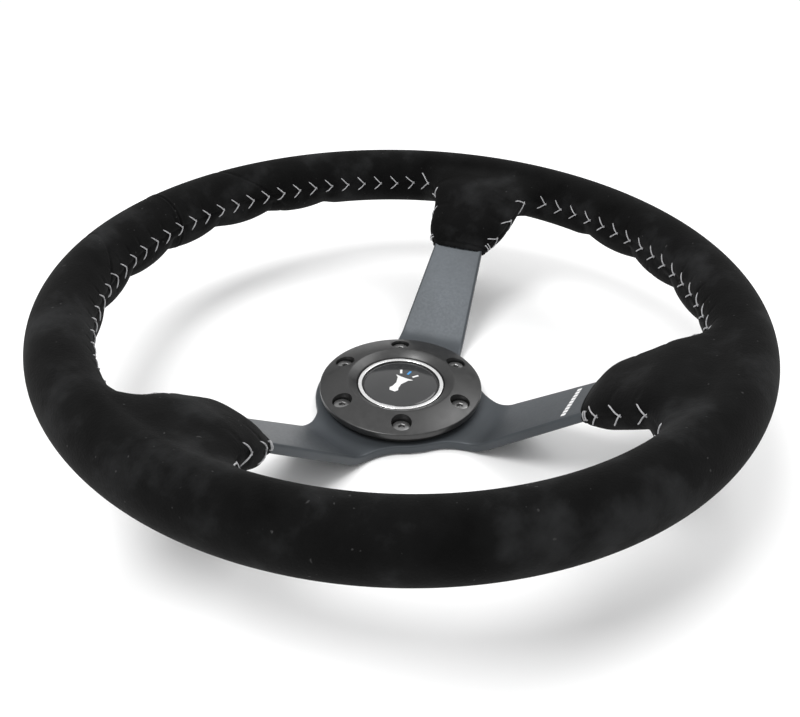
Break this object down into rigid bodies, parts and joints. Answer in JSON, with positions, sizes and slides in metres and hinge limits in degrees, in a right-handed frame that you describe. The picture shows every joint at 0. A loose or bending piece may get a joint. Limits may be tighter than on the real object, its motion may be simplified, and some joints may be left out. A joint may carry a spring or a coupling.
{
  "type": "quick release steering wheel",
  "caption": "Deep-dish three-spoke sports steering wheel with a suede grip, a bolt-circle boss for a quick release hub and a sprung horn button.",
  "frame": {"origin": "centre of the boss's back face, on the steering column's axis", "axes": "+Z along the column towards the driver, +Y to 12 o'clock, +X to 3 o'clock"},
  "size_m": [0.35, 0.35, 0.0803],
  "materials": {
    "black_alloy": "matte black, slightly metallic",
    "bare_alloy": "mill finish",
    "foam": "moulded polyurethane",
    "suede": "brushed suede",
    "satin_ring": "satin dark grey",
    "black_steel": "black oxide",
    "black_plastic": "moulded, fine texture",
    "brass": "bright",
    "spring_steel": "bright",
    "chrome": "polished",
    "gloss_black": "high gloss"
  },
  "bodies": {
    "wheel": {"spoke_frame": "black_alloy", "rim_hoop": "bare_alloy", "rim_rivet_1": "bare_alloy", "rim_rivet_2": "bare_alloy", "rim_rivet_3": "bare_alloy", "rim_rivet_4": "bare_alloy", "rim_rivet_5": "bare_alloy", "rim_rivet_6": "bare_alloy", "rim_foam": "foam", "rim_cover": "suede", "trim_ring": "satin_ring", "mounting_screw_1": "black_steel", "mounting_screw_2": "black_steel", "mounting_screw_3": "black_steel", "mounting_screw_4": "black_steel", "mounting_screw_5": "black_steel", "mounting_screw_6": "black_steel", "horn_housing": "black_plastic", "contact_ring": "brass", "contact_rivet": "brass", "ground_rivet": "brass", "live_terminal": "brass", "ground_terminal": "brass", "horn_spring_1": "spring_steel", "horn_spring_2": "spring_steel", "horn_spring_3": "spring_steel"},
    "horn_button": {"moving_contact": "brass", "horn_cap": "black_plastic", "push_nut": "spring_steel", "horn_bezel": "chrome", "horn_emblem": "gloss_black"}
  },
  "joints": [
    {"name": "horn_press", "type": "slide", "parent": "wheel", "child": "horn_button", "axis": [0, 0, -1], "range_m": [0, 0.0015], "stiffness_N_per_m": 4000, "springref_m": -0.0015, "deforming": ["horn_spring_1", "horn_spring_2", "horn_spring_3"]}
  ]
}
